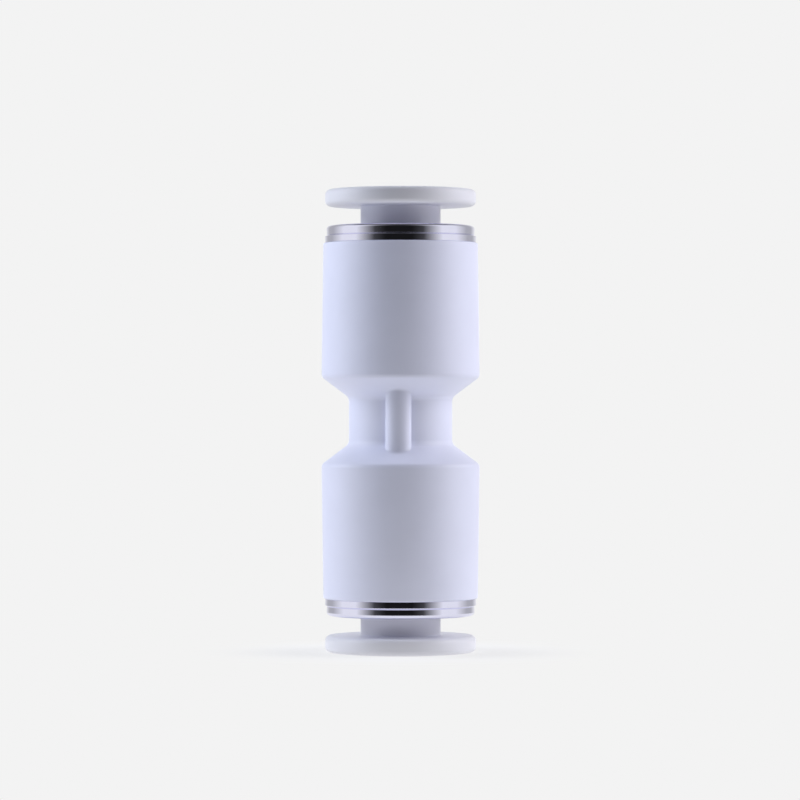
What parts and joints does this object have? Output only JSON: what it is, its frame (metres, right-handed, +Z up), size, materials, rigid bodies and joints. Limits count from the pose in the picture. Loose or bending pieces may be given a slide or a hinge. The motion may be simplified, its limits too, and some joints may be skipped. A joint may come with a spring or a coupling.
{
  "type": "straight push-fit pneumatic connector",
  "caption": "Straight push-fit union that joins air tubes end to end: waisted plastic body with a rib, metal collars and spring-back release rings.",
  "frame": {"origin": "middle of the end face of the bottom release ring, which the union stands on", "axes": "+Z up along the axis of both tubes; the ribs of the waist are on -Y, its front, and on +Y"},
  "size_m": [0.0106, 0.0106, 0.0308],
  "materials": {
    "body_plastic": "glossy, slightly bluish white moulding",
    "release_plastic": "smooth white moulding with a soft shine",
    "collar_nickel": "bright nickel plating over brass",
    "claw_steel": "stamped stainless spring steel",
    "backup_plastic": "plain moulded plastic",
    "seal_rubber": "black nitrile rubber"
  },
  "bodies": {
    "fitting": {"body": "body_plastic", "guide_collar_top": "collar_nickel", "lock_claws_top": "claw_steel", "backup_ring_top": "backup_plastic", "tube_seal_top": "seal_rubber", "guide_collar_bottom": "collar_nickel", "lock_claws_bottom": "claw_steel", "backup_ring_bottom": "backup_plastic", "tube_seal_bottom": "seal_rubber"},
    "release_top": {"release_ring_top": "release_plastic"},
    "release_bottom": {"release_ring_bottom": "release_plastic"}
  },
  "joints": [
    {"name": "release_top_slide", "type": "slide", "parent": "fitting", "child": "release_top", "axis": [0, 0, -1], "range_m": [0, 0.00125], "stiffness_N_per_m": 100, "springref_m": -0.002},
    {"name": "release_bottom_slide", "type": "slide", "parent": "fitting", "child": "release_bottom", "axis": [0, 0, 1], "range_m": [0, 0.00125], "stiffness_N_per_m": 100, "springref_m": -0.002}
  ]
}
